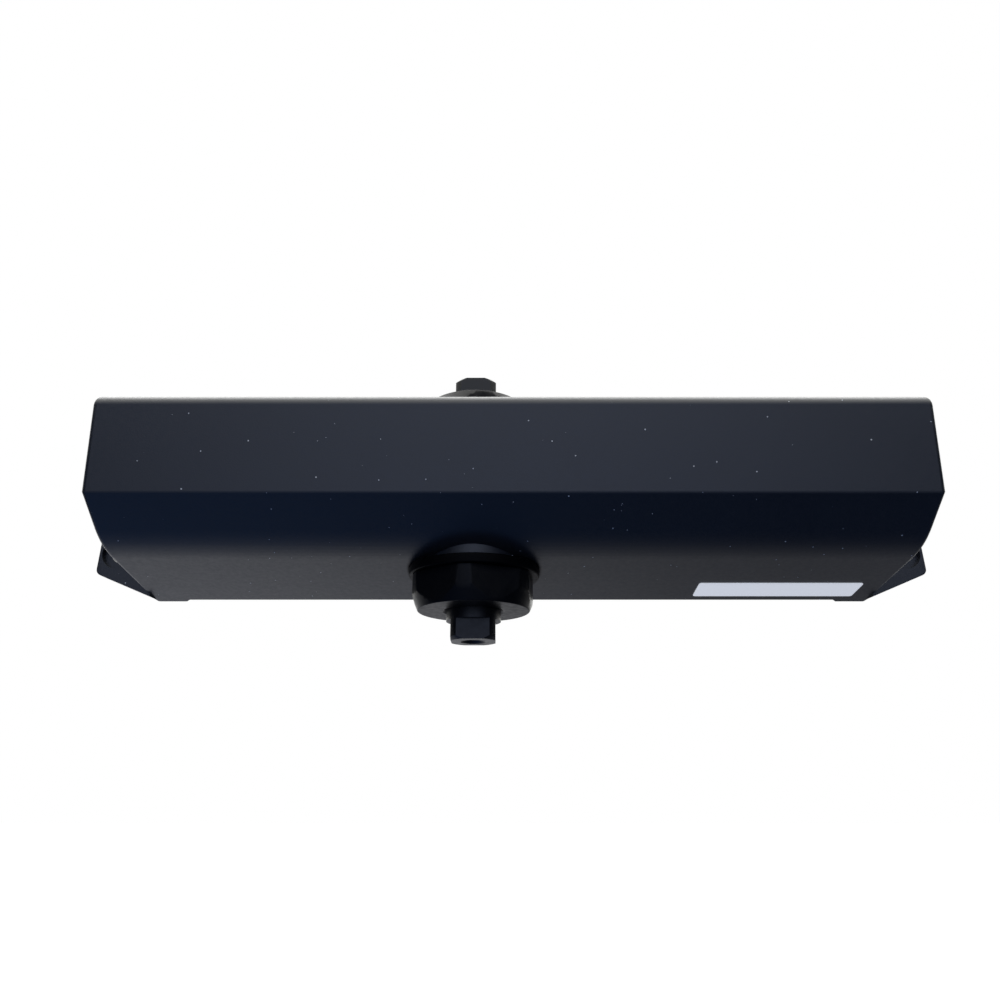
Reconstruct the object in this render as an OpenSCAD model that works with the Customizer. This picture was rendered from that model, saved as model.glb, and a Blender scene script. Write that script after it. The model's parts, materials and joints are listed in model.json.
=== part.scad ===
// Rack-and-pinion door closer body, without its arm.
// Frame: X runs along the body, the mounting face is Y = 0 with the front panel
// towards -Y, and Z runs up the spindle. The origin is the centre of the four
// mounting holes on the mounting face.

/* [Body] */
// Length of the casting at its front panel
body_l = 211; // [180:1:260]
// How much shorter each end is at the mounting face
end_taper = 0.5; // [0:0.5:5]
// Distance of the front panel's lower crease from the mounting face
crease_depth = 45.6; // [40:0.1:50]
// Height of the crease below the middle of the spindle
crease_drop = 5.6; // [3:0.1:7]
// How far the top of the panel leans forward of its crease
panel_lean = 2.8; // [0:0.1:4]
// Height of the panel's top edge above the middle of the spindle
panel_top = 17.2; // [15.5:0.1:22]
// Height of the top face at the mounting face
back_top = 22.3; // [20.8:0.1:26]
// Depth of the lowest edge at the mounting face below the middle of the spindle
back_bottom = 22.8; // [20.8:0.1:25]
// Distance of the bend in the underside from the mounting face
bend_depth = 32.7; // [29:0.1:34]
// Depth of the bend below the middle of the spindle
bend_drop = 16.0; // [14.5:0.1:18]
// Radius of the bend in the underside
bend_r = 24; // [4:1:28]
// Radius along the top front edge
top_edge_r = 3; // [1:0.5:5]

/* [Mounting ears] */
// Distance between the mounting holes along the body
hole_spacing_x = 230.2; // [228:0.1:280]
// Distance between the mounting holes along the spindle
hole_spacing_z = 19; // [16:0.5:22]
// Diameter of the mounting holes
hole_d = 5.5; // [5:0.1:8]
// Diameter of the counterbore for the screw head
hole_head_d = 9.8; // [9:0.1:11]
// Depth of the counterbore
hole_head_depth = 1.6; // [1:0.1:3]
// Thickness of an ear
ear_t = 5.8; // [4:0.1:8]
// Distance from a mounting hole to the ear's outer edge
ear_margin = 5.8; // [5:0.1:8]
// Slope of the ear's trimmed corners, in degrees
ear_slope = 22; // [10:1:30]
// How far the back of the casting is relieved between its mounting pads
pad_h = 1.2; // [0.5:0.1:2]
// Length of each mounting pad along the body
pad_l = 10; // [8:0.5:16]

/* [Spindle] */
// Distance of the spindle from the body's centre, towards the valve end
spindle_offset = 10.3; // [0:0.1:14]
// Overall length of the spindle
spindle_l = 75.3; // [68:0.1:90]
// Diameter of the spindle's journals
journal_d = 14.5; // [12:0.1:16]
// Width of the square ends across flats
square_w = 11.65; // [10:0.05:12]
// Length of each square end
square_l = 5.3; // [5:0.1:12]
// Diameter of the tapped hole in each end, before threading
end_hole_d = 5; // [4:0.1:6]
// Depth of the tapped hole
end_hole_depth = 12; // [8:1:16]

/* [Rack and pinion] */
// Tooth size, the pitch diameter divided by the number of teeth
tooth_module = 1.5; // [1.2:0.05:1.6]
// Number of pinion teeth
teeth = 10; // [9:1:11]
// Half width of the toothed length
tooth_half_l = 8; // [6:0.5:9]
// Door opening that the closer allows, in degrees
opening_angle = 180; // [120:10:180]

/* [Cylinder] */
// Diameter of the cylinder
bore_d = 28; // [26:0.5:28]
// Height of the cylinder's axis above the middle of the spindle
bore_rise = 0; // [-0.5:0.1:1]
// Distance of the cylinder's axis from the mounting face
bore_depth = 19.4; // [18.8:0.1:21]
// Thickness of the closed end at the valves
closed_end_t = 15; // [13:1:20]
// Diameter of the spring end plug
plug_d = 30.3; // [29:0.1:30.5]
// Length of the spring end plug
plug_l = 13; // [11:0.5:16]
// Sliding clearance of the piston on its radius
piston_clearance = 0.04; // [0.02:0.01:0.1]

/* [Bearing caps] */
// Distance of each cap's seat from the middle of the spindle
seat_z = 20.6; // [19.5:0.1:20.7]
// Height of the upper hexagonal cap above its seat
upper_cap_h = 8.1; // [6:0.1:9.5]
// Height of the lower hexagonal cap above its seat
lower_cap_h = 9.1; // [6:0.1:9.5]
// Width of the hexagon across flats
cap_flats = 30.7; // [29:0.1:31]
// Diameter over the cap's trimmed corners
cap_corner_d = 33.4; // [32:0.1:34]
// Diameter of the cap's outer face inside its bevel
cap_face_d = 29.8; // [28:0.1:29.8]
// Turn of the upper cap about the spindle, in degrees
upper_cap_turn = 20; // [-30:1:30]
// Turn of the lower cap about the spindle, in degrees
lower_cap_turn = 7; // [-30:1:30]
// Diameter of the round flange under the lower cap
boss_d = 35.1; // [34.6:0.1:36]
// Thickness of the flange's rim
flange_t = 2.4; // [1.5:0.1:4]
// Diameter of the neck between the flange and the underside
neck_d = 27.8; // [27.2:0.1:32]
// Diameter of the cap's threaded spigot
spigot_d = 24.9; // [24:0.1:25.5]

/* [Springs] */
// Wire diameter of the outer spring
outer_wire = 3.6; // [3:0.1:4]
// Number of coils of the outer spring
outer_coils = 9; // [7:1:11]
// Wire diameter of the inner spring
inner_wire = 2.2; // [1.8:0.1:2.4]
// Number of coils of the inner spring
inner_coils = 14; // [11:1:17]
// Length of the springs with the door closed
spring_l = 73; // [68:1:80]

/* [Regulating valves] */
// Diameter of a valve screw's head
valve_head_d = 6.4; // [5.5:0.1:7]
// Length of a valve screw
valve_l = 24; // [20:1:30]

/* [Label] */
// Length of the label
label_l = 45.9; // [20:0.1:60]
// Width of the label
label_w = 8.65; // [5:0.05:12]
// Distance of the label's middle from the body's centre
label_x = 75.4; // [40:0.1:80]
// Distance of the label's middle from the mounting face
label_depth = 8.35; // [5:0.05:14]
// Thickness of the label
label_t = 0.2; // [0.1:0.05:0.4]

/* [Hidden] */

fine = 96;
small = 48;
over = 1;
fit_gap = 0.05;

spindle_x = -spindle_offset;
spindle_y = -bore_depth;
spindle_end = spindle_l / 2;
bore_r = bore_d / 2;
bore_z = bore_rise;
half_l = body_l / 2;

pitch_r = tooth_module * teeth / 2;
pressure_angle = 25;
addendum = 0.82 * tooth_module;
dedendum = 1.05 * tooth_module;
tooth_gap = 0.12;
tip_r = pitch_r + addendum;
root_r = pitch_r - dedendum;
travel = pitch_r * opening_angle * PI / 180;
collar_r = tip_r + 0.3;
window_half_w = collar_r + 0.5;
roller_r = 0.95;
roller_gap = 0.03;
roller_path_r = journal_d / 2 + roller_r + roller_gap;
shell_t = 0.79;
pocket_r = roller_path_r + roller_r + roller_gap + shell_t;
spigot_r = spigot_d / 2;
washer_r = spigot_r - 1.2;
window_margin = washer_r + 0.6;

piston_r = bore_r - piston_clearance;
window_x0 = spindle_x - travel - window_margin;
window_x1 = spindle_x + window_margin;
web_t = 12.6;
spring_wall_t = 10.6;
skirt_l = 30;
piston_x0 = window_x0 - web_t - skirt_l;
piston_x1 = window_x1 + spring_wall_t;
spring_x0 = piston_x1;
spring_x1 = spring_x0 + spring_l;
plate_t = 4;
plate_hub_t = 3;
screw_r = 3;

pocket_end = seat_z + min(upper_cap_h, lower_cap_h) - 1.8;
spigot_end = bore_z + bore_r + 0.2;
washer_t = 0.7;
collar_end = spigot_end - washer_t - 0.1;

plug_x0 = half_l - plug_l;
screw_collar_t = 2;
screw_shank_r = 4;

slope = atan2(back_bottom - bend_drop, bend_depth);
valve_r = valve_head_d / 2;
sweep_at = [-(bore_depth + 18.5), bore_z + 12.5];
latch_at = [-(bore_depth + 19), bore_z + 1.5];
backcheck_at = [-(bore_depth - 9.9), bore_z + 14.5];
valve_seat_depth = 9;
valve_stem_r = 1.5;
valve_ring_depth = 6.2;
ring_r = 0.6;

function unit(v) = v / norm(v);
function turn_to(a, b) = let (d = b - a) d > 180 ? d - 360 : d < -180 ? d + 360 : d;
// Points of a round of radius r at corner b, between neighbours a and c
function round_corner(a, b, c, r, n) = let (
    u = unit(a - b),
    w = unit(c - b),
    half = acos(u * w) / 2,
    centre = b + unit(u + w) * r / sin(half),
    p = b + u * r / tan(half) - centre,
    q = b + w * r / tan(half) - centre,
    start = atan2(p[1], p[0]),
    sweep = turn_to(start, atan2(q[1], q[0])))
    [for (i = [0:n]) centre + r * [cos(start + sweep * i / n), sin(start + sweep * i / n)]];

// Helix about the X axis with closed end coils, centred on the wire
function coil_x(t, coils, wire, length) = let (
    closed = wire * 1.03,
    open = (length - 2 * closed - wire) / (coils - 2))
    wire / 2 + (t < 1 ? t * closed
        : t > coils - 1 ? length - wire - (coils - t) * closed
        : closed + (t - 1) * open);

module lathe(points) {
    rotate_extrude($fn = fine) polygon(points);
}

module ring(outer_r, inner_r, h) {
    difference() {
        cylinder(r = outer_r, h = h, $fn = fine);
        translate([0, 0, -over]) cylinder(r = inner_r, h = h + 2 * over, $fn = fine);
    }
}

module o_ring(middle_r, section_r) {
    rotate_extrude($fn = fine) translate([middle_r, 0]) circle(r = section_r, $fn = small);
}

// Turns +Z to +X, with the origin at x on the line through y and z
module along_x(x, y, z) {
    translate([x, y, z]) rotate([0, 90, 0]) children();
}

// Turns +Z to point out of the valve end, with the origin on its face
module out_of_valve_end(at) {
    translate([-half_l, at[0], at[1]]) rotate([0, -90, 0]) children();
}

module on_spindle(side) {
    translate([spindle_x, spindle_y, 0]) mirror([0, 0, side < 0 ? 1 : 0]) children();
}

module hexagon(flats, h) {
    cylinder(r = flats / sqrt(3), h = h, $fn = 6);
}

module helix(coil_r, wire, coils, length) {
    steps = 18 * coils;
    sides = 8;
    points = [for (i = [0:steps], j = [0:sides - 1]) let (
        t = i * coils / steps,
        a = 360 * t,
        b = 360 * j / sides,
        reach = coil_r + wire / 2 * cos(b))
        [coil_x(t, coils, wire, length) + wire / 2 * sin(b), reach * cos(a), reach * sin(a)]];
    sides_faces = [for (i = [0:steps - 1], j = [0:sides - 1]) let (
        k = (j + 1) % sides,
        a = i * sides)
        [a + j, a + sides + j, a + sides + k, a + k]];
    start_face = [for (j = [0:sides - 1]) j];
    end_face = [for (j = [0:sides - 1]) steps * sides + sides - 1 - j];
    polyhedron(points, concat(sides_faces, [start_face, end_face]), convexity = 10);
}

module body_profile() {
    crease = [-crease_depth, -crease_drop];
    panel_edge = [-crease_depth - panel_lean, panel_top];
    top_back = [0, back_top];
    bend = [-bend_depth, -bend_drop];
    bottom_back = [0, -back_bottom];
    corner = panel_edge + unit(panel_edge - crease) * top_edge_r * 0.94;
    polygon(concat(
        [top_back],
        round_corner(top_back, corner, crease, top_edge_r, 8),
        [crease],
        round_corner(crease, bend, bottom_back, bend_r, 8),
        [bottom_back]));
}

module ear_outline() {
    x0 = half_l - end_taper - 1;
    x1 = hole_spacing_x / 2 + ear_margin;
    z1 = hole_spacing_z / 2 + 6.2;
    z0 = z1 + (x1 - x0) * tan(ear_slope);
    polygon(concat(
        [[x0, -z0]],
        round_corner([x0, -z0], [x1, -z1], [x1, z1], 2, 5),
        round_corner([x1, -z1], [x1, z1], [x0, z0], 2, 5),
        [[x0, z0]]));
}

// Relief behind the casting, which leaves a raised pad at each end
module back_relief() {
    x0 = half_l - pad_l;
    translate([0, 0, -2 * back_bottom]) linear_extrude(4 * back_bottom) polygon([
        [-x0 - over, over], [-x0 + pad_h, -pad_h], [x0 - pad_h, -pad_h], [x0 + over, over]]);
}

module body_block() {
    intersection() {
        translate([-half_l - over, 0, 0]) rotate([90, 0, 90])
            linear_extrude(body_l + 2 * over) body_profile();
        translate([0, 0, -2 * back_bottom]) linear_extrude(4 * back_bottom) polygon([
            [-half_l + end_taper, over], [-half_l, -bend_depth], [-half_l, -2 * crease_depth],
            [half_l, -2 * crease_depth], [half_l, -bend_depth], [half_l - end_taper, over]]);
    }
}

module valve_passage(at, port_x) {
    out_of_valve_end(at) {
        translate([0, 0, -valve_seat_depth]) cylinder(r = valve_r + fit_gap,
            h = valve_seat_depth + over, $fn = small);
        translate([0, 0, -half_l - port_x - 4]) cylinder(r = valve_stem_r + 0.3,
            h = half_l + port_x + 4, $fn = small);
    }
    for (x = [port_x, -half_l + closed_end_t + 3])
        port([x, at[0], at[1]]);
}

// A drilled port from a passage to the cylinder's axis
module port(from) {
    dy = -bore_depth - from[1];
    dz = bore_z - from[2];
    reach = norm([dy, dz]) - bore_r + over;
    translate(from) rotate([atan2(dz, dy), 0, 0]) rotate([-90, 0, 0])
        cylinder(r = 0.9, h = reach, $fn = small);
}

// Flange under the lower cap, with a cone down to its neck
module lower_boss() {
    boss_r = boss_d / 2;
    neck_r = neck_d / 2;
    cone_top = seat_z - flange_t;
    lathe([[0, 2], [neck_r, 2], [neck_r, cone_top - (boss_r - neck_r) * tan(16)],
        [boss_r, cone_top], [boss_r, seat_z], [0, seat_z]]);
}

module body_casting() {
    color([0.06, 0.065, 0.08]) difference() {
        union() {
            body_block();
            on_spindle(-1) lower_boss();
            for (side = [0, 1]) mirror([side, 0, 0]) rotate([90, 0, 0])
                linear_extrude(ear_t) ear_outline();
        }
        back_relief();
        along_x(-half_l + closed_end_t, -bore_depth, bore_z)
            cylinder(r = bore_r, h = body_l, $fn = fine);
        along_x(plug_x0, -bore_depth, bore_z)
            cylinder(r = plug_d / 2 + fit_gap, h = plug_l + over, $fn = fine);
        for (side = [-1, 1]) on_spindle(side) {
            translate([0, 0, bore_z]) cylinder(r = spigot_r + fit_gap,
                h = seat_z + over, $fn = fine);
            translate([0, 0, seat_z]) cylinder(d = cap_corner_d + 1, h = bore_r, $fn = fine);
        }
        for (x = [-1, 1], z = [-1, 1])
            translate([x * hole_spacing_x / 2, 0, z * hole_spacing_z / 2]) rotate([90, 0, 0]) {
                translate([0, 0, -over]) cylinder(d = hole_d, h = ear_t + 2 * over, $fn = small);
                translate([0, 0, ear_t - hole_head_depth])
                    cylinder(d = hole_head_d, h = bore_depth, $fn = small);
            }
        valve_passage(sweep_at, -half_l + 34);
        valve_passage(latch_at, -half_l + 40);
        valve_passage(backcheck_at, -half_l + 64);
        along_x(half_l - valve_seat_depth, sweep_at[0], sweep_at[1])
            cylinder(r = valve_r + fit_gap, h = valve_seat_depth + over, $fn = small);
        along_x(plug_x0 - 6, sweep_at[0], sweep_at[1])
            cylinder(r = valve_stem_r, h = plug_l, $fn = small);
        port([plug_x0 - 4, sweep_at[0], sweep_at[1]]);
    }
}

module bearing_cap(turn, cap_h) {
    cap_top = seat_z + cap_h;
    difference() {
        union() {
            intersection() {
                translate([0, 0, seat_z]) rotate([0, 0, 30 - turn])
                    hexagon(cap_flats, cap_h);
                translate([0, 0, seat_z]) lathe([[0, 0], [cap_corner_d / 2, 0],
                    [cap_corner_d / 2, cap_h - 4], [cap_face_d / 2, cap_h], [0, cap_h]]);
            }
            translate([0, 0, spigot_end]) cylinder(r = spigot_r,
                h = seat_z - spigot_end + over, $fn = fine);
        }
        translate([0, 0, spigot_end - over]) cylinder(r = pocket_r,
            h = pocket_end - spigot_end + over, $fn = fine);
        cylinder(r = journal_d / 2 + 0.1, h = cap_top + over, $fn = fine);
        translate([0, 0, cap_top - 0.8]) cylinder(r1 = journal_d / 2 + 0.1,
            r2 = journal_d / 2 + 1.1, h = 1, $fn = fine);
        translate([0, 0, seat_z - 1.8]) ring(spigot_r + over, spigot_r - 1.4, 1.5);
    }
}

module upper_bearing_cap() {
    color([0.08, 0.08, 0.1]) on_spindle(1) bearing_cap(upper_cap_turn, upper_cap_h);
}

module lower_bearing_cap() {
    color([0.08, 0.08, 0.1]) on_spindle(-1) bearing_cap(lower_cap_turn, lower_cap_h);
}

shell_z = spigot_end + 0.2;
shell_h = 8.8;
roller_count = 18;

module bearing_shell() {
    translate([0, 0, shell_z]) ring(pocket_r - fit_gap / 2, roller_path_r + roller_r + roller_gap,
        shell_h);
}

module bearing_rollers() {
    for (i = [0:roller_count - 1]) rotate([0, 0, i * 360 / roller_count])
        translate([roller_path_r, 0, shell_z + 0.4])
            cylinder(r = roller_r, h = shell_h - 0.8, $fn = small);
}

module upper_bearing_shell() {
    color([0.7, 0.7, 0.72]) on_spindle(1) bearing_shell();
}

module lower_bearing_shell() {
    color([0.7, 0.7, 0.72]) on_spindle(-1) bearing_shell();
}

module upper_bearing_rollers() {
    color([0.78, 0.78, 0.8]) on_spindle(1) bearing_rollers();
}

module lower_bearing_rollers() {
    color([0.78, 0.78, 0.8]) on_spindle(-1) bearing_rollers();
}

module shaft_seal() {
    seal_z = shell_z + shell_h + 0.2;
    translate([0, 0, seal_z]) ring(pocket_r - fit_gap / 2, journal_d / 2 + 0.05,
        pocket_end - seal_z - 0.1);
}

module upper_shaft_seal() {
    color([0.1, 0.1, 0.1]) on_spindle(1) shaft_seal();
}

module lower_shaft_seal() {
    color([0.1, 0.1, 0.1]) on_spindle(-1) shaft_seal();
}

module cap_o_ring() {
    translate([0, 0, seat_z - 1.05]) o_ring(spigot_r - 0.68, 0.68);
}

module upper_cap_o_ring() {
    color([0.1, 0.1, 0.1]) on_spindle(1) cap_o_ring();
}

module lower_cap_o_ring() {
    color([0.1, 0.1, 0.1]) on_spindle(-1) cap_o_ring();
}

// One flank of an involute tooth, from below the base circle to the tip
base_r = pitch_r * cos(pressure_angle);
flank_steps = 5;
half_tooth = 90 / teeth - tooth_gap / 2 / pitch_r * 180 / PI;
function involute(a) = tan(a) * 180 / PI - a;
function flank(r) = let (a = acos(min(1, base_r / r)))
    half_tooth + involute(pressure_angle) - involute(a);
function flank_radius(i) = base_r + (tip_r - base_r) * i / flank_steps;
function tooth_side(side) = [for (i = [0:flank_steps])
    flank_radius(i) * [cos(side * flank(flank_radius(i))), sin(side * flank(flank_radius(i)))]];
function turned(p, a) = [p[0] * cos(a) - p[1] * sin(a), p[0] * sin(a) + p[1] * cos(a)];
// One tooth from root to root, with its middle on the X axis
tooth = let (root = flank(base_r), left = tooth_side(-1), right = tooth_side(1)) concat(
    [root_r * [cos(root), -sin(root)]], left,
    [for (i = [flank_steps:-1:0]) right[i]], [root_r * [cos(root), sin(root)]]);

module pinion_outline() {
    polygon([for (i = [0:teeth - 1], p = tooth) turned(p, i * 360 / teeth - 90)]);
}

// Cuts the four flats of a square end
module square_flats() {
    chord = journal_d;
    for (a = [0:90:270]) rotate([0, 0, a])
        translate([square_w / 2, -chord, spindle_end - square_l])
            cube([chord, 2 * chord, square_l + over]);
}

// Arm screw hole with its countersink
module end_hole() {
    sink = 0.9;
    translate([0, 0, spindle_end - end_hole_depth])
        cylinder(d = end_hole_d, h = end_hole_depth + over, $fn = small);
    translate([0, 0, spindle_end - sink]) cylinder(r1 = end_hole_d / 2,
        r2 = end_hole_d / 2 + sink + 0.2, h = sink + 0.2, $fn = small);
}

module pinion_shaft() {
    r = journal_d / 2;
    chamfer = 0.9;
    color([0.09, 0.095, 0.11]) translate([spindle_x, spindle_y, 0]) difference() {
        union() {
            translate([0, 0, -tooth_half_l - 0.1]) linear_extrude(2 * tooth_half_l + 0.2)
                pinion_outline();
            for (side = [0, 1]) mirror([0, 0, side]) lathe([[0, tooth_half_l],
                [collar_r, tooth_half_l], [collar_r, collar_end], [r, collar_end],
                [r, spindle_end - chamfer], [r - chamfer, spindle_end], [0, spindle_end]]);
        }
        for (side = [0, 1]) mirror([0, 0, side]) {
            square_flats();
            end_hole();
        }
    }
}

module thrust_washer() {
    translate([0, 0, collar_end + 0.05]) ring(washer_r, journal_d / 2 + 0.05, washer_t);
}

module upper_thrust_washer() {
    color([0.75, 0.6, 0.3]) on_spindle(1) thrust_washer();
}

module lower_thrust_washer() {
    color([0.75, 0.6, 0.3]) on_spindle(-1) thrust_washer();
}

web_x1 = window_x0;
retainer_l = 3.5;
check_r = 5;
check_depth = 8;
ball_r = 2.6;
passage_r = 2;
skirt_r = 9.5;

module rack_teeth() {
    pitch = tooth_module * PI;
    line = spindle_y - pitch_r;
    half_gap = pitch / 4 + tooth_gap / 2;
    lean = tan(pressure_angle);
    count = ceil((window_x1 - window_x0) / pitch) + 1;
    translate([0, 0, -tooth_half_l + 0.15]) linear_extrude(2 * tooth_half_l - 0.3) difference() {
        translate([window_x0 - 0.5, spindle_y - window_half_w - 1.5])
            square([window_x1 - window_x0 + 1, window_half_w + 1.5 - pitch_r + addendum]);
        for (i = [-count:count]) translate([spindle_x + i * pitch, line]) polygon([
            [-half_gap + dedendum * lean, -dedendum], [half_gap - dedendum * lean, -dedendum],
            [half_gap + (addendum + over) * lean, addendum + over],
            [-half_gap - (addendum + over) * lean, addendum + over]]);
    }
}

module piston_rack() {
    color([0.55, 0.56, 0.58]) difference() {
        union() {
            difference() {
                along_x(piston_x0, -bore_depth, bore_z)
                    cylinder(r = piston_r, h = piston_x1 - piston_x0, $fn = fine);
                translate([window_x0, spindle_y - window_half_w, -bore_d])
                    cube([window_x1 - window_x0, 2 * window_half_w, 2 * bore_d]);
            }
            intersection() {
                rack_teeth();
                along_x(window_x0 - 2, -bore_depth, bore_z)
                    cylinder(r = piston_r, h = window_x1 - window_x0 + 4, $fn = fine);
            }
        }
        along_x(piston_x0 - over, -bore_depth, bore_z)
            cylinder(r = skirt_r, h = web_x1 - web_t - piston_x0 + over, $fn = fine);
        along_x(web_x1 - web_t - over, -bore_depth, bore_z)
            cylinder(r = check_r, h = check_depth + over, $fn = small);
        along_x(web_x1 - web_t, -bore_depth, bore_z)
            cylinder(r = passage_r, h = web_t + over, $fn = small);
        along_x(piston_x1 - plate_hub_t, -bore_depth, bore_z)
            cylinder(r = inner_coil_r + inner_wire / 2 + 0.3, h = plate_hub_t + over, $fn = fine);
        along_x(web_x1 - web_t + 3, -bore_depth, bore_z)
            ring(bore_r + over, piston_r - 1.4, 2);
    }
}

module piston_seal_ring() {
    color([0.85, 0.84, 0.78]) along_x(web_x1 - web_t + 3 + fit_gap, -bore_depth, bore_z)
        ring(bore_r - 0.02, piston_r - 1.4 + fit_gap, 2 - 2 * fit_gap);
}

module check_valve_ball() {
    seat = sqrt(ball_r * ball_r - passage_r * passage_r);
    color([0.8, 0.8, 0.82])
        translate([web_x1 - web_t + check_depth - seat - 0.05, -bore_depth, bore_z])
            sphere(r = ball_r, $fn = small);
}

module check_valve_retainer() {
    color([0.72, 0.6, 0.3]) along_x(web_x1 - web_t, -bore_depth, bore_z)
        ring(check_r - fit_gap, 1.8, retainer_l - 0.8);
}

outer_coil_r = bore_r - 0.7 - outer_wire / 2;
inner_coil_r = outer_coil_r - outer_wire / 2 - 1 - inner_wire / 2;

module outer_main_spring() {
    color([0.35, 0.37, 0.4]) translate([spring_x0 + 0.05, -bore_depth, bore_z])
        helix(outer_coil_r, outer_wire, outer_coils, spring_l - 0.1);
}

module inner_main_spring() {
    inner_l = spring_l + plate_hub_t;
    color([0.35, 0.37, 0.4])
        translate([spring_x0 - plate_hub_t + 0.05, -bore_depth, bore_z]) mirror([0, 1, 0])
            helix(inner_coil_r, inner_wire, inner_coils, inner_l - 0.1);
}

module spring_seat_plate() {
    color([0.5, 0.51, 0.53]) along_x(spring_x1, -bore_depth, bore_z) difference() {
        union() {
            cylinder(r = bore_r - 0.15, h = plate_t, $fn = fine);
            translate([0, 0, -plate_hub_t])
                cylinder(r = inner_coil_r - inner_wire / 2 - 0.3, h = plate_hub_t + over,
                    $fn = fine);
        }
        translate([0, 0, -plate_hub_t - over])
            cylinder(r = screw_r + fit_gap, h = plate_t + plate_hub_t + 2 * over, $fn = small);
    }
}

screw_tail = 11;
socket_flats = 4;

module spring_adjusting_screw() {
    inside = plug_x0 - screw_collar_t - 0.1;
    color([0.6, 0.6, 0.62]) difference() {
        union() {
            along_x(spring_x1 - screw_tail, -bore_depth, bore_z)
                cylinder(r = screw_r, h = inside - spring_x1 + screw_tail + over, $fn = small);
            along_x(inside, -bore_depth, bore_z)
                cylinder(r = screw_shank_r + 1.5, h = screw_collar_t, $fn = small);
            along_x(inside, -bore_depth, bore_z)
                cylinder(r = screw_shank_r, h = half_l - 1.5 - inside, $fn = small);
        }
        along_x(plug_x0 + 3, -bore_depth, bore_z)
            ring(screw_shank_r + over, screw_shank_r - 1.15, 1.4);
        along_x(half_l - 3.6, -bore_depth, bore_z)
            ring(screw_shank_r + over, screw_shank_r - 0.8, 0.9);
        along_x(half_l - 6, -bore_depth, bore_z) hexagon(socket_flats, 6);
    }
}

module adjusting_screw_o_ring() {
    color([0.1, 0.1, 0.1]) along_x(plug_x0 + 3.7, -bore_depth, bore_z)
        o_ring(screw_shank_r - 0.55, 0.55);
}

module adjusting_screw_clip() {
    color([0.3, 0.3, 0.32]) along_x(half_l - 3.6 + fit_gap, -bore_depth, bore_z) difference() {
        ring(screw_shank_r + 1.4, screw_shank_r - 0.8 + fit_gap, 0.9 - 2 * fit_gap);
        translate([0, -1.8, -over]) cube([screw_shank_r + 3, 3.6, 4]);
    }
}

module spring_end_plug() {
    color([0.5, 0.5, 0.52]) difference() {
        along_x(plug_x0, -bore_depth, bore_z) cylinder(d = plug_d, h = plug_l, $fn = fine);
        along_x(plug_x0 - over, -bore_depth, bore_z)
            cylinder(r = screw_shank_r + fit_gap, h = plug_l + 2 * over, $fn = small);
        along_x(half_l - 3.7, -bore_depth, bore_z)
            cylinder(r = screw_shank_r + 1.8, h = 3.7 + over, $fn = small);
        along_x(plug_x0 + 2, -bore_depth, bore_z)
            ring(plug_d / 2 + over, plug_d / 2 - 1.6, 2);
        for (side = [-1, 1])
            along_x(half_l - 4, -bore_depth, bore_z + side * 10)
                cylinder(r = 2, h = 4 + over, $fn = small);
    }
}

module spring_end_plug_o_ring() {
    color([0.1, 0.1, 0.1]) along_x(plug_x0 + 3, -bore_depth, bore_z)
        o_ring(plug_d / 2 - 0.8, 0.78);
}

module valve_screw() {
    head = valve_r;
    difference() {
        lathe([[0, -valve_l], [0.4, -valve_l], [valve_stem_r, -valve_l + 5],
            [valve_stem_r, -valve_seat_depth + 0.2], [head, -valve_seat_depth + 0.2],
            [head, -valve_ring_depth - ring_r - 0.05],
            [head - 2 * ring_r - 0.05, -valve_ring_depth - ring_r - 0.05],
            [head - 2 * ring_r - 0.05, -valve_ring_depth + ring_r + 0.05],
            [head, -valve_ring_depth + ring_r + 0.05], [head, -1], [head - 0.4, -0.6],
            [0, -0.6]]);
        translate([-head - over, -0.5, -2.2]) cube([2 * head + 2 * over, 1, 3]);
    }
}

module valve_o_ring() {
    translate([0, 0, -valve_ring_depth]) o_ring(valve_r - ring_r, ring_r);
}

module sweep_valve_screw() {
    color([0.62, 0.62, 0.64]) out_of_valve_end(sweep_at) valve_screw();
}

module sweep_valve_o_ring() {
    color([0.1, 0.1, 0.1]) out_of_valve_end(sweep_at) valve_o_ring();
}

module latch_valve_screw() {
    color([0.62, 0.62, 0.64]) out_of_valve_end(latch_at) valve_screw();
}

module latch_valve_o_ring() {
    color([0.1, 0.1, 0.1]) out_of_valve_end(latch_at) valve_o_ring();
}

module backcheck_valve_screw() {
    color([0.62, 0.62, 0.64]) out_of_valve_end(backcheck_at) valve_screw();
}

module backcheck_valve_o_ring() {
    color([0.1, 0.1, 0.1]) out_of_valve_end(backcheck_at) valve_o_ring();
}

module oil_fill_plug() {
    color([0.62, 0.62, 0.64]) along_x(half_l, sweep_at[0], sweep_at[1]) difference() {
        lathe([[0, -valve_seat_depth + 0.2], [valve_r, -valve_seat_depth + 0.2],
            [valve_r, -valve_ring_depth - ring_r - 0.05],
            [valve_r - 2 * ring_r - 0.05, -valve_ring_depth - ring_r - 0.05],
            [valve_r - 2 * ring_r - 0.05, -valve_ring_depth + ring_r + 0.05],
            [valve_r, -valve_ring_depth + ring_r + 0.05], [valve_r, -1], [valve_r - 0.4, -0.6],
            [0, -0.6]]);
        translate([0, 0, -3.4]) hexagon(socket_flats - 1, 4);
    }
}

module oil_fill_o_ring() {
    color([0.1, 0.1, 0.1]) along_x(half_l, sweep_at[0], sweep_at[1]) valve_o_ring();
}

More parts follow.
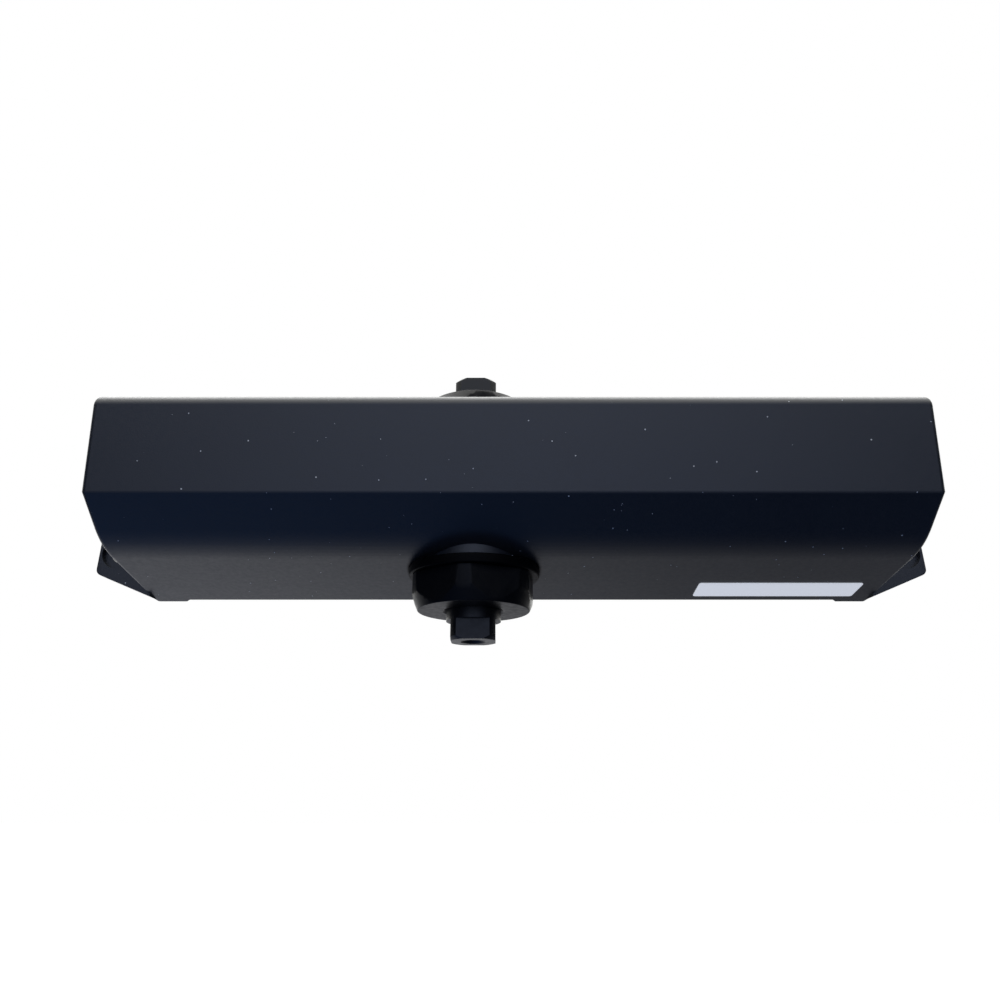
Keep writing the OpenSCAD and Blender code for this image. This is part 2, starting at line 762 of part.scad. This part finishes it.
module name_label() {
    r = 0.7;
    a = [-label_l / 2, -label_w / 2];
    b = [label_l / 2, -label_w / 2];
    c = [label_l / 2, label_w / 2];
    d = [-label_l / 2, label_w / 2];
    drop = bend_drop + (bend_depth - label_depth) * tan(slope);
    color([0.72, 0.73, 0.75]) translate([label_x, -label_depth, -drop]) rotate([-slope, 0, 0])
        translate([0, 0, -label_t - 0.01]) linear_extrude(label_t) polygon(concat(
            round_corner(d, a, b, r, 4), round_corner(a, b, c, r, 4),
            round_corner(b, c, d, r, 4), round_corner(c, d, a, r, 4)));
}

body_casting();
upper_bearing_cap();
lower_bearing_cap();
upper_bearing_shell();
lower_bearing_shell();
upper_bearing_rollers();
lower_bearing_rollers();
upper_shaft_seal();
lower_shaft_seal();
upper_cap_o_ring();
lower_cap_o_ring();
pinion_shaft();
upper_thrust_washer();
lower_thrust_washer();
piston_rack();
piston_seal_ring();
check_valve_ball();
check_valve_retainer();
outer_main_spring();
inner_main_spring();
spring_seat_plate();
spring_adjusting_screw();
adjusting_screw_o_ring();
adjusting_screw_clip();
spring_end_plug();
spring_end_plug_o_ring();
sweep_valve_screw();
sweep_valve_o_ring();
latch_valve_screw();
latch_valve_o_ring();
backcheck_valve_screw();
backcheck_valve_o_ring();
oil_fill_plug();
oil_fill_o_ring();
name_label();
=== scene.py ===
"""The door closer's looks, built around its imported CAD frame. Metres, +Z up, front towards -Y."""
import json
import math
import bmesh
import bpy
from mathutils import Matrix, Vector


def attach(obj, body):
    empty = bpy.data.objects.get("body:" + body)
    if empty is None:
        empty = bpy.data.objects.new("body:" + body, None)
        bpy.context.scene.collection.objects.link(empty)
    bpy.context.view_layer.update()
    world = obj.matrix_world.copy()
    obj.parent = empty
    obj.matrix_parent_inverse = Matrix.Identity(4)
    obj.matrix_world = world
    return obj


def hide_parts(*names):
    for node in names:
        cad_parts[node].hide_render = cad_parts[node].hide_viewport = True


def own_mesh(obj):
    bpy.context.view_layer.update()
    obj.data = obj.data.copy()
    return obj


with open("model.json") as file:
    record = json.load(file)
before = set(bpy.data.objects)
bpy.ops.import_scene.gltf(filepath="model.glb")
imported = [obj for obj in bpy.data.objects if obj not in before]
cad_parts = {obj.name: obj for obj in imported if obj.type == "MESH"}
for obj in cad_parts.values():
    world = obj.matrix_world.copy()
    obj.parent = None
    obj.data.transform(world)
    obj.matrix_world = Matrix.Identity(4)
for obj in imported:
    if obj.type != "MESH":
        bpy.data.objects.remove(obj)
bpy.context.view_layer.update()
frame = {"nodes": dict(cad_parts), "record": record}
MM = 0.001


def joint_of(name):
    return next(joint for joint in frame["record"]["behaviour"]["joints"] if joint["name"] == name)


def mount_of(name):
    return next(mount for mount in frame["record"]["mounts"] if mount["name"] == name)


# The spindle's axis in X and Y. The bore's axis runs along X at the same Y.
SPINDLE = joint_of("spindle_turn")["pos_m"][:2]
# From the middle to an end face: the valve screws turn in the end face towards -X.
HALF_LENGTH = -joint_of("sweep_valve_turn")["pos_m"][0]
# An ear's holes, by their distance from the middle in X and in Z.
EAR_HOLES = mount_of("mounting_holes")["dims"]
HOLE = (EAR_HOLES["spacing_x_mm"] / 2 * MM, EAR_HOLES["spacing_y_mm"] / 2 * MM)
# The fold between the front panel and the sloped underside, in Y and Z.
CREASE = (-45.6 * MM, -5.6 * MM)
# The machined flange round the spindle's lower end.
FLANGE_R = 35.1 / 2 * MM
FLANGE_BELOW = -15 * MM
# Points of the CAD mesh closer than this are one point.
WELD = 0.002 * MM


# ---------------------------------------------------------------- shader nodes

def between(tree, value, low, high, out_low, out_high, step="LINEAR"):
    """Maps the value's span from low to high onto the span from one output to the other."""
    span = tree.nodes.new("ShaderNodeMapRange")
    span.interpolation_type = step
    tree.links.new(value, span.inputs["Value"])
    span.inputs["From Min"].default_value = low
    span.inputs["From Max"].default_value = high
    span.inputs["To Min"].default_value = out_low
    span.inputs["To Max"].default_value = out_high
    return span.outputs[0]


def mixed(tree, factor, a, b):
    """Colour a where the factor is 0 and b where it is 1. Each is a colour or a socket."""
    mix = tree.nodes.new("ShaderNodeMix")
    mix.data_type = "RGBA"
    tree.links.new(factor, mix.inputs["Factor"])
    for socket, colour in (("A", a), ("B", b)):
        if isinstance(colour, tuple):
            mix.inputs[socket].default_value = (*colour, 1)
        else:
            tree.links.new(colour, mix.inputs[socket])
    return mix.outputs["Result"]


def faded(tree, value, low, high, out_low=0, out_high=1):
    """A smooth step of the value from one output to the other."""
    return between(tree, value, low, high, out_low, out_high, "SMOOTHSTEP")


def scaled(tree, colour, factor):
    scale = tree.nodes.new("ShaderNodeVectorMath")
    scale.operation = "SCALE"
    scale.inputs[0].default_value = colour
    tree.links.new(factor, scale.inputs["Scale"])
    return scale.outputs[0]


# ---------------------------------------------------------------- stage

def make_camera():
    """A wide lens close to the closer's front and below it, looking up at it."""
    pitch_up = 20
    data = bpy.data.cameras.new("photo_camera")
    data.lens = 25.6
    data.sensor_width = 36.0
    data.clip_start = 0.005
    camera = bpy.data.objects.new("photo_camera", data)
    camera.location = (-3.3 * MM, -207.2 * MM, -66.4 * MM)
    camera.rotation_euler = (math.radians(90 + pitch_up), 0, 0)
    bpy.context.scene.collection.objects.link(camera)
    bpy.context.scene.camera = camera


def make_area_light(name, place, target, size, power):
    data = bpy.data.lights.new(name, "AREA")
    data.shape = "RECTANGLE"
    data.size, data.size_y = size
    data.energy = power
    light = bpy.data.objects.new(name, data)
    light.location = place
    aim = Vector(target) - Vector(place)
    light.rotation_euler = aim.to_track_quat("-Z", "Y").to_euler()
    light.visible_camera = False
    bpy.context.scene.collection.objects.link(light)


def make_world():
    """White to the camera. For light, a room: bright above and behind, dim in front and dark below."""
    world = bpy.data.worlds.new("studio")
    bpy.context.scene.world = world
    world.use_nodes = True
    tree = world.node_tree
    tree.nodes.clear()
    link = tree.links.new
    place = tree.nodes.new("ShaderNodeTexCoord")
    split = tree.nodes.new("ShaderNodeSeparateXYZ")
    link(place.outputs["Generated"], split.inputs[0])
    x, y, z = (split.outputs[axis] for axis in "XYZ")
    sideways = tree.nodes.new("ShaderNodeMath")
    sideways.operation = "ABSOLUTE"
    link(x, sideways.inputs[0])
    front_blue, deep_blue, low_grey = (0.63, 0.74, 1.06), (0.034, 0.078, 0.2), (0.52, 0.53, 0.57)
    back_white, ceiling_white = (2.0, 2.0, 1.95), (2.2, 2.2, 2.15)
    front = scaled(tree, front_blue, faded(tree, sideways.outputs[0], 0.1, 0.8, 1.0, 0.05))
    below = scaled(tree, deep_blue, faded(tree, x, -0.45, 0.45, 1.7, 0.3))
    low_back = scaled(tree, low_grey, faded(tree, x, -0.45, 0.45, 1.35, 0.45))
    before = mixed(tree, faded(tree, z, -0.88, -0.05), below, front)
    behind = mixed(tree, faded(tree, z, -0.2, 0.2), low_back, back_white)
    around = mixed(tree, faded(tree, y, 0.1, 0.75), before, behind)
    everywhere = mixed(tree, faded(tree, z, 0.35, 0.8), around, ceiling_white)
    room = tree.nodes.new("ShaderNodeBackground")
    link(everywhere, room.inputs["Color"])
    seen = tree.nodes.new("ShaderNodeBackground")
    seen.inputs["Color"].default_value = (1, 1, 1, 1)
    sight = tree.nodes.new("ShaderNodeLightPath")
    mix = tree.nodes.new("ShaderNodeMixShader")
    link(sight.outputs["Is Camera Ray"], mix.inputs[0])
    link(room.outputs[0], mix.inputs[1])
    link(seen.outputs[0], mix.inputs[2])
    out = tree.nodes.new("ShaderNodeOutputWorld")
    link(mix.outputs[0], out.inputs["Surface"])


def make_floor():
    """A glowing white floor that the camera sees and that lights and shadows nothing."""
    bpy.ops.mesh.primitive_plane_add(size=6, location=(0, 0, -0.32))
    floor = bpy.context.object
    floor.name = "floor"
    floor.visible_glossy = False
    floor.visible_diffuse = False
    floor.visible_shadow = False
    material = bpy.data.materials.new("pale_floor")
    material.use_nodes = True
    shader = material.node_tree.nodes["Principled BSDF"]
    shader.inputs["Base Color"].default_value = (0.1, 0.1, 0.1, 1)
    shader.inputs["Roughness"].default_value = 0.9
    shader.inputs["Emission Color"].default_value = (1, 1, 1, 1)
    shader.inputs["Emission Strength"].default_value = 0.97
    floor.data.materials.append(material)


def make_stage():
    make_camera()
    make_world()
    bpy.context.scene.view_settings.view_transform = "Standard"
    make_floor()
    make_area_light("key_above", place=(0, 0.15, 0.9), target=(0, 0, 0), size=(1.4, 0.8), power=9)


# ---------------------------------------------------------------- materials

def material_nodes(name):
    material = bpy.data.materials.new(name)
    material.use_nodes = True
    tree = material.node_tree
    return material, tree, tree.nodes["Principled BSDF"]


def object_noise(tree, scale, detail=2.0, roughness=0.5):
    place = tree.nodes.new("ShaderNodeTexCoord")
    noise = tree.nodes.new("ShaderNodeTexNoise")
    noise.inputs["Scale"].default_value = scale
    noise.inputs["Detail"].default_value = detail
    noise.inputs["Roughness"].default_value = roughness
    tree.links.new(place.outputs["Object"], noise.inputs["Vector"])
    return noise


def bumped(tree, height, distance, strength=1.0):
    bump = tree.nodes.new("ShaderNodeBump")
    bump.inputs["Strength"].default_value = strength
    bump.inputs["Distance"].default_value = distance
    tree.links.new(height, bump.inputs["Height"])
    return bump.outputs[0]


def black_paint():
    """Satin black paint with fine orange peel, slight clouding and dust. Painted shade on the flange:
    near black there, with little reflection.
    """
    material, tree, shader = material_nodes("satin_black_paint")
    link = tree.links.new
    clouds = object_noise(tree, 45, 3)
    colour = mixed(tree, clouds.outputs["Fac"], (0.008, 0.0095, 0.013), (0.012, 0.014, 0.019))
    specks = dust(tree)
    colour = mixed(tree, specks, colour, (0.5, 0.51, 0.52))
    # Painted shade: the flange round the spindle's lower end turns near black and reflects little,
    # standing in for the shadow under the body.
    flange_shade = painted_flange_shade(tree)
    link(mixed(tree, flange_shade, colour, (0.0012, 0.0013, 0.0018)), shader.inputs["Base Color"])
    link(between(tree, flange_shade, 0, 1, 0.5, 0.03), shader.inputs["Specular IOR Level"])
    grain = object_noise(tree, 900, 2)
    link(between(tree, grain.outputs["Fac"], 0.3, 0.7, 0.34, 0.42), shader.inputs["Roughness"])
    peel = object_noise(tree, 2600, 1)
    link(bumped(tree, peel.outputs["Fac"], 0.00004, 0.35), shader.inputs["Normal"])
    return material


def painted_flange_shade(tree):
    """Painted shade mask: 1 on the flange round the spindle's lower end, 0 on the rest of the casting.
    """
    place = tree.nodes.new("ShaderNodeTexCoord")
    centred = tree.nodes.new("ShaderNodeVectorMath")
    centred.operation = "SUBTRACT"
    centred.inputs[1].default_value = (SPINDLE[0], SPINDLE[1], 0)
    tree.links.new(place.outputs["Object"], centred.inputs[0])
    split = tree.nodes.new("ShaderNodeSeparateXYZ")
    tree.links.new(centred.outputs[0], split.inputs[0])
    across = tree.nodes.new("ShaderNodeCombineXYZ")
    tree.links.new(split.outputs["X"], across.inputs["X"])
    tree.links.new(split.outputs["Y"], across.inputs["Y"])
    radius = tree.nodes.new("ShaderNodeVectorMath")
    radius.operation = "LENGTH"
    tree.links.new(across.outputs[0], radius.inputs[0])
    inside = between(tree, radius.outputs["Value"], 18.4 * MM, 17.7 * MM, 0, 1)
    below = between(tree, split.outputs["Z"], -17.2 * MM, -18.0 * MM, 0, 1)
    both = tree.nodes.new("ShaderNodeMath")
    both.operation = "MULTIPLY"
    tree.links.new(inside, both.inputs[0])
    tree.links.new(below, both.inputs[1])
    return both.outputs[0]


def dust(tree):
    """1 on small scattered specks, 0 elsewhere."""
    place = tree.nodes.new("ShaderNodeTexCoord")
    cells = tree.nodes.new("ShaderNodeTexVoronoi")
    cells.inputs["Scale"].default_value = 520
    tree.links.new(place.outputs["Object"], cells.inputs["Vector"])
    split = tree.nodes.new("ShaderNodeSeparateColor")
    tree.links.new(cells.outputs["Color"], split.inputs[0])
    chosen = between(tree, split.outputs[0], 0.62, 1.0, 0.0, 0.1)
    inside = tree.nodes.new("ShaderNodeMath")
    inside.operation = "LESS_THAN"
    tree.links.new(cells.outputs["Distance"], inside.inputs[0])
    tree.links.new(chosen, inside.inputs[1])
    return inside.outputs[0]


def black_steel(name, specular):
    """Blackened machined steel."""
    material, tree, shader = material_nodes(name)
    link = tree.links.new
    clouds = object_noise(tree, 160, 4)
    link(mixed(tree, clouds.outputs["Fac"], (0.0012, 0.0014, 0.002), (0.003, 0.0034, 0.0045)),
         shader.inputs["Base Color"])
    shader.inputs["Specular IOR Level"].default_value = specular
    grain = object_noise(tree, 700, 3)
    link(between(tree, grain.outputs["Fac"], 0.3, 0.7, 0.3, 0.42), shader.inputs["Roughness"])
    link(bumped(tree, grain.outputs["Fac"], 0.00005, 0.3), shader.inputs["Normal"])
    return material


def plain_metal(name, dark, light, rough, scale=400):
    material, tree, shader = material_nodes(name)
    link = tree.links.new
    grain = object_noise(tree, scale, 3)
    link(mixed(tree, grain.outputs["Fac"], dark, light), shader.inputs["Base Color"])
    shader.inputs["Metallic"].default_value = 1.0
    link(between(tree, grain.outputs["Fac"], 0.3, 0.7, rough - 0.06, rough + 0.06),
         shader.inputs["Roughness"])
    link(bumped(tree, grain.outputs["Fac"], 0.00003, 0.3), shader.inputs["Normal"])
    return material


def matte(name, dark, light, rough):
    material, tree, shader = material_nodes(name)
    link = tree.links.new
    grain = object_noise(tree, 600, 3)
    link(mixed(tree, grain.outputs["Fac"], dark, light), shader.inputs["Base Color"])
    link(between(tree, grain.outputs["Fac"], 0.3, 0.7, rough - 0.05, rough + 0.05),
         shader.inputs["Roughness"])
    link(bumped(tree, grain.outputs["Fac"], 0.00004, 0.3), shader.inputs["Normal"])
    return material


def label_foil():
    """Pale foil that glows a little, because one that only reflects stays too dark."""
    material, tree, shader = material_nodes("label_foil")
    link = tree.links.new
    grain = object_noise(tree, 1500, 2)
    link(mixed(tree, grain.outputs["Fac"], (0.84, 0.85, 0.87), (0.93, 0.94, 0.96)),
         shader.inputs["Base Color"])
    shader.inputs["Metallic"].default_value = 0.25
    shader.inputs["Emission Color"].default_value = (0.96, 0.98, 1.0, 1)
    shader.inputs["Emission Strength"].default_value = 0.42
    link(between(tree, grain.outputs["Fac"], 0.3, 0.7, 0.4, 0.5), shader.inputs["Roughness"])
    link(bumped(tree, grain.outputs["Fac"], 0.00002, 0.2), shader.inputs["Normal"])
    return material


def make_materials():
    return {
        "painted_body": black_paint(),
        "black_steel": black_steel("blackened_steel", 0.1),
        "bearing_steel": plain_metal("bearing_steel", (0.6, 0.6, 0.62), (0.78, 0.78, 0.8), 0.14),
        "plain_steel": plain_metal("machined_steel", (0.42, 0.43, 0.45), (0.56, 0.57, 0.59), 0.3),
        "spring_steel": plain_metal("spring_wire", (0.13, 0.14, 0.17), (0.24, 0.25, 0.28), 0.35),
        "zinc_steel": plain_metal("zinc_plate", (0.60, 0.61, 0.64), (0.68, 0.69, 0.72), 0.26, 1600),
        "bronze": plain_metal("bronze", (0.5, 0.34, 0.14), (0.66, 0.48, 0.24), 0.3),
        "seal_rubber": matte("seal_rubber", (0.012, 0.012, 0.012), (0.022, 0.022, 0.022), 0.6),
        "seal_plastic": matte("seal_plastic", (0.62, 0.61, 0.55), (0.72, 0.71, 0.66), 0.5),
        "label_foil": label_foil(),
    }


def dress_nodes(materials):
    """Every CAD node takes the material of its slot."""
    for part in frame["record"]["subparts"]:
        node = frame["nodes"][part["node"]]
        node.data.materials.clear()
        node.data.materials.append(materials[part["material_slot"]])
    frame["nodes"]["pinion_shaft"].data.materials[0] = black_steel("oiled_black_steel", 0.32)


# ---------------------------------------------------------------- casting

def bevel_edges(mesh, chosen, width, segments):
    edges = [edge for edge in mesh.edges if chosen(edge)]
    bmesh.ops.bevel(mesh, geom=edges, offset=width, offset_type="OFFSET", segments=segments,
                    profile=0.5, affect="EDGES", clamp_overlap=False)


def is_corner(edge, degrees):
    """True for an outward corner that turns by more than the angle."""
    if len(edge.link_faces) != 2 or not edge.is_convex:
        return False
    return edge.calc_face_angle(0) > math.radians(degrees)


def near(value, target):
    return abs(value - target) < 0.06 * MM


def spindle_radius(place):
    return math.hypot(place.x - SPINDLE[0], place.y - SPINDLE[1])


def on_end_rim(edge):
    """The rim of an end face: its side faces away from the bore's axis.

    That leaves the bore alone, but takes in the half nearest the axis of a smaller hole's rim.
    """
    if not is_corner(edge, 35):
        return False
    ends = [vert.co for vert in edge.verts]
    nearest, farthest = HALF_LENGTH - 0.6 * MM, HALF_LENGTH + 0.1 * MM
    if any(abs(end.x) < nearest or abs(end.x) > farthest for end in ends):
        return False
    if max(abs(face.normal.x) for face in edge.link_faces) < 0.98:
        return False
    side = min(edge.link_faces, key=lambda face: abs(face.normal.x))
    middle = (ends[0] + ends[1]) / 2
    outward = Vector((0, middle.y - SPINDLE[1], middle.z))
    return side.normal.dot(outward) > 0


def on_crease(edge):
    return all(near(vert.co.y, CREASE[0]) and near(vert.co.z, CREASE[1]) for vert in edge.verts)


def on_ear(edge):
    """An ear's outline, away from the holes and their counterbores."""
    ends = [vert.co for vert in edge.verts]
    clear_of_holes = 5.2 * MM
    if not is_corner(edge, 30) or any(abs(end.x) < HALF_LENGTH + 0.05 * MM for end in ends):
        return False
    return all(math.hypot(abs(end.x) - HOLE[0], abs(end.z) - HOLE[1]) > clear_of_holes for end in ends)


def on_flange(edge):
    """The flange's two rims."""
    if not is_corner(edge, 30):
        return False
    ends = [vert.co for vert in edge.verts]
    return all(end.z < FLANGE_BELOW and near(spindle_radius(end), FLANGE_R) for end in ends)


def make_casting(materials):
    """A copy of the CAD casting with its outer corners rounded as cast and painted."""
    node = frame["nodes"]["body_casting"]
    data = node.data.copy()
    data.name = "painted_casting"
    mesh = bmesh.new()
    mesh.from_mesh(data)
    bmesh.ops.remove_doubles(mesh, verts=mesh.verts, dist=WELD)
    flat = math.radians(0.4)
    bmesh.ops.dissolve_limit(mesh, angle_limit=flat, verts=mesh.verts, edges=mesh.edges)
    bevel_edges(mesh, on_end_rim, 1.5 * MM, 5)
    bevel_edges(mesh, on_crease, 0.5 * MM, 3)
    bevel_edges(mesh, on_ear, 0.4 * MM, 3)
    bevel_edges(mesh, on_flange, 0.4 * MM, 3)
    bmesh.ops.triangulate(mesh, faces=[face for face in mesh.faces if len(face.verts) > 4])
    mesh.to_mesh(data)
    mesh.free()
    piece = bpy.data.objects.new("painted_casting", data)
    bpy.context.scene.collection.objects.link(piece)
    piece.matrix_world = node.matrix_world
    data.materials.clear()
    data.materials.append(materials["painted_body"])
    smooth(piece, 40)
    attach(piece, "housing")
    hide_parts("body_casting")


def smooth(piece, degrees):
    """Smooth shading from the piece's own faces that keeps corners sharper than the angle."""
    if "custom_normal" in piece.data.attributes:
        piece.data.attributes.remove(piece.data.attributes["custom_normal"])
    piece.data.shade_smooth()
    piece.data.set_sharp_from_angle(angle=math.radians(degrees))
    weighted = piece.modifiers.new("weighted", "WEIGHTED_NORMAL")
    weighted.keep_sharp = True


def soften(node, width):
    """Welds a CAD node's facets and rounds its corners without touching its own points."""
    weld = node.modifiers.new("weld", "WELD")
    weld.merge_threshold = WELD
    node.data.shade_smooth()
    bevel = node.modifiers.new("bevel", "BEVEL")
    bevel.width = width
    bevel.segments = 3
    bevel.limit_method = "ANGLE"
    bevel.angle_limit = math.radians(28)
    bevel.harden_normals = False
    weighted = node.modifiers.new("weighted", "WEIGHTED_NORMAL")
    weighted.keep_sharp = True


def soften_nodes():
    widths = {"upper_bearing_cap": 0.25, "lower_bearing_cap": 0.25, "pinion_shaft": 0.2}
    for name, width in widths.items():
        soften(frame["nodes"][name], width * MM)


# ---------------------------------------------------------------- springs

class Spring:
    """A round-wire spring with closed ends, as long as its CAD node and along the bore's axis."""

    def __init__(self, node_name, coil_r, wire, coils, hand):
        self.node_name = node_name
        self.coil_r = coil_r
        self.wire = wire
        self.coils = coils
        self.hand = hand
        node = frame["nodes"][node_name]
        places = [(node.matrix_world @ vert.co).x for vert in node.data.vertices]
        self.start = min(places)
        self.length = max(places) - self.start

    def along(self, turn):
        """The wire's place in X after that many turns."""
        closed = self.wire * 1.03
        pitch = (self.length - 2 * closed - self.wire) / (self.coils - 2)
        if turn < 1:
            return self.start + self.wire / 2 + turn * closed
        if turn > self.coils - 1:
            return self.start + self.length - self.wire / 2 - (self.coils - turn) * closed
        return self.start + self.wire / 2 + closed + (turn - 1) * pitch

    def ring(self, mesh, turn, sides=14):
        """The wire's cross-section after that many turns, as points of the mesh."""
        middle = self.along(turn)
        angle = 2 * math.pi * turn
        points = []
        for side in range(sides):
            bend = 2 * math.pi * side / sides
            reach = self.coil_r + self.wire / 2 * math.cos(bend)
            points.append(mesh.verts.new((middle + self.wire / 2 * math.sin(bend),
                                          SPINDLE[1] + self.hand * reach * math.cos(angle),
                                          reach * math.sin(angle))))
        return points


def coil_mesh(spring, name, first, last, steps_per_turn=36):
    """The spring's wire from its first turn to its last, with closed ends."""
    mesh = bmesh.new()
    steps = round(steps_per_turn * (last - first))
    rings = [spring.ring(mesh, first + step * (last - first) / steps) for step in range(steps + 1)]
    for this, after in zip(rings, rings[1:]):
        for side in range(len(this)):
            other = (side + 1) % len(this)
            mesh.faces.new((this[side], after[side], after[other], this[other]))
    mesh.faces.new(rings[0])
    mesh.faces.new(list(reversed(rings[-1])))
    bmesh.ops.recalc_face_normals(mesh, faces=mesh.faces)
    data = bpy.data.meshes.new(name)
    mesh.to_mesh(data)
    mesh.free()
    return data


def make_coil(materials, spring, end, turns):
    """One stretch of a spring, attached to the housing."""
    name = spring.node_name.replace("main_spring", "coil_") + end
    data = coil_mesh(spring, name, *turns)
    data.materials.append(materials["spring_steel"])
    piece = bpy.data.objects.new(name, data)
    bpy.context.scene.collection.objects.link(piece)
    smooth(piece, 50)
    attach(piece, "housing")
    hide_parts(spring.node_name)
    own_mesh(piece)


def make_spring(materials, spring):
    """The spring in two stretches: the piston end with most of its turns, and the seat end with the
    rest.
    """
    split = round(spring.coils * 0.7)
    anchor = spring.along(split)
    make_coil(materials, spring, "piston_end", (0, split))
    make_coil(materials, spring, "seat_end", (split, spring.coils))


# ---------------------------------------------------------------- all of it

make_stage()
materials = make_materials()
dress_nodes(materials)
make_casting(materials)
make_spring(materials, Spring("outer_main_spring", coil_r=11.5 * MM, wire=3.6 * MM, coils=9, hand=1))
make_spring(materials, Spring("inner_main_spring", coil_r=7.6 * MM, wire=2.2 * MM, coils=14, hand=-1))
soften_nodes()
